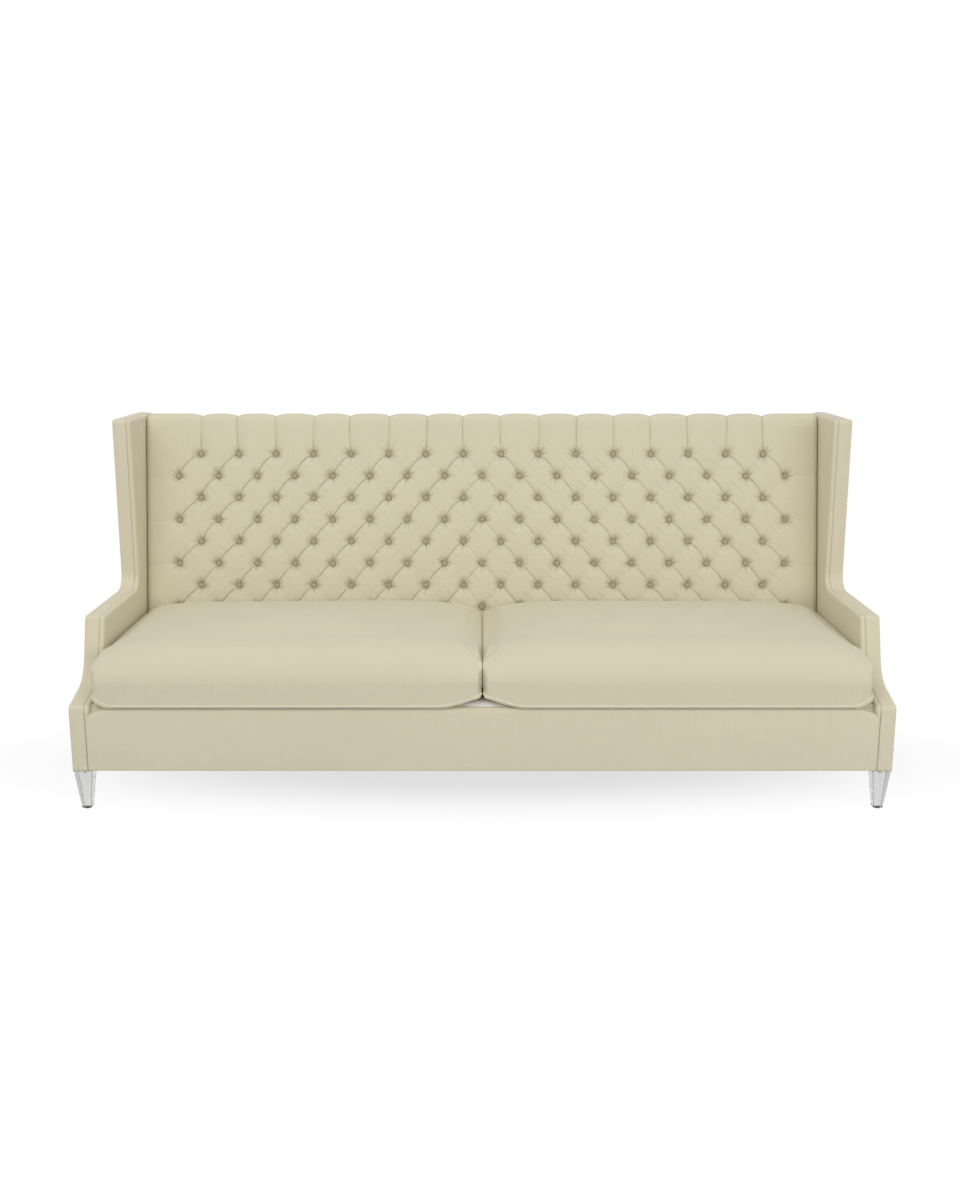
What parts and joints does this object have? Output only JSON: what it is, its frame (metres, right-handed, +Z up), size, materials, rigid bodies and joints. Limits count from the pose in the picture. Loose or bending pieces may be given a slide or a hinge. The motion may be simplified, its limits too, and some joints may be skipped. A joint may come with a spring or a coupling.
{
  "type": "high back settee",
  "caption": "Long high back settee with stepped arms and wings, a deep buttoned back, loose box seat cushions and clear tapered square legs.",
  "frame": {"origin": "on the floor under the middle of the settee's plan", "axes": "+X to the right as seen from the front, -Y to the front where a person sits, +Z up"},
  "size_m": [2.44, 0.96, 1.118],
  "materials": {
    "wood": "matte",
    "upholstery_fabric": "matte",
    "padding": "matte",
    "deck_cloth": "matte",
    "jute_hessian": "matte",
    "jute_webbing": "matte",
    "twine": "matte",
    "dust_cloth": "matte",
    "clear_acrylic": "gloss",
    "zinc_steel": "satin",
    "glide_felt": "matte",
    "zip_tape": "matte",
    "zip_metal": "satin"
  },
  "bodies": {
    "frame": {"front_seat_rail": "wood", "rear_seat_rail": "wood", "seat_stretcher": "wood", "rear_tack_rail": "wood", "corner_blocks": "wood", "top_back_rail": "wood", "lower_back_rails": "wood", "left_mid_post": "wood", "right_mid_post": "wood", "left_seat_rail": "wood", "left_arm_post": "wood", "left_arm_rail": "wood", "left_wing_post": "wood", "left_wing_rail": "wood", "left_back_post": "wood", "right_seat_rail": "wood", "right_arm_post": "wood", "right_arm_rail": "wood", "right_wing_post": "wood", "right_wing_rail": "wood", "right_back_post": "wood", "front_rail_cover": "upholstery_fabric", "outside_back_cover": "upholstery_fabric", "top_back_pad": "upholstery_fabric", "tufted_back": "upholstery_fabric", "tuft_buttons": "upholstery_fabric", "left_inside_pad": "upholstery_fabric", "left_side_panel": "upholstery_fabric", "left_front_band": "upholstery_fabric", "right_inside_pad": "upholstery_fabric", "right_side_panel": "upholstery_fabric", "right_front_band": "upholstery_fabric", "front_edge_roll": "padding", "deck_pad": "padding", "deck_cloth": "deck_cloth", "deck_hessian": "jute_hessian", "back_hessian": "jute_hessian", "seat_webbing": "jute_webbing", "back_webbing": "jute_webbing", "button_twines": "twine", "dust_cover": "dust_cloth", "front_left_leg": "clear_acrylic", "front_right_leg": "clear_acrylic", "rear_left_leg": "clear_acrylic", "rear_right_leg": "clear_acrylic", "centre_leg": "clear_acrylic", "leg_plates": "zinc_steel", "plate_screws": "zinc_steel", "leg_studs": "zinc_steel", "leg_glides": "glide_felt"},
    "left_cushion": {"left_cushion_cover": "upholstery_fabric", "left_cushion_core": "padding", "left_zip_tape": "zip_tape"},
    "left_zip": {"left_zip_slider": "zip_metal"},
    "right_cushion": {"right_cushion_cover": "upholstery_fabric", "right_cushion_core": "padding", "right_zip_tape": "zip_tape"},
    "right_zip": {"right_zip_slider": "zip_metal"}
  },
  "joints": [
    {"name": "left_cushion_lift", "type": "slide", "parent": "frame", "child": "left_cushion", "axis": [0, 0, 1], "range_m": [0, 0.8]},
    {"name": "right_cushion_lift", "type": "slide", "parent": "frame", "child": "right_cushion", "axis": [0, 0, 1], "range_m": [0, 0.8]},
    {"name": "left_zip_slide", "type": "slide", "parent": "left_cushion", "child": "left_zip", "axis": [-1, 0, 0], "range_m": [0, 0.94]},
    {"name": "right_zip_slide", "type": "slide", "parent": "right_cushion", "child": "right_zip", "axis": [1, 0, 0], "range_m": [0, 0.94]}
  ]
}
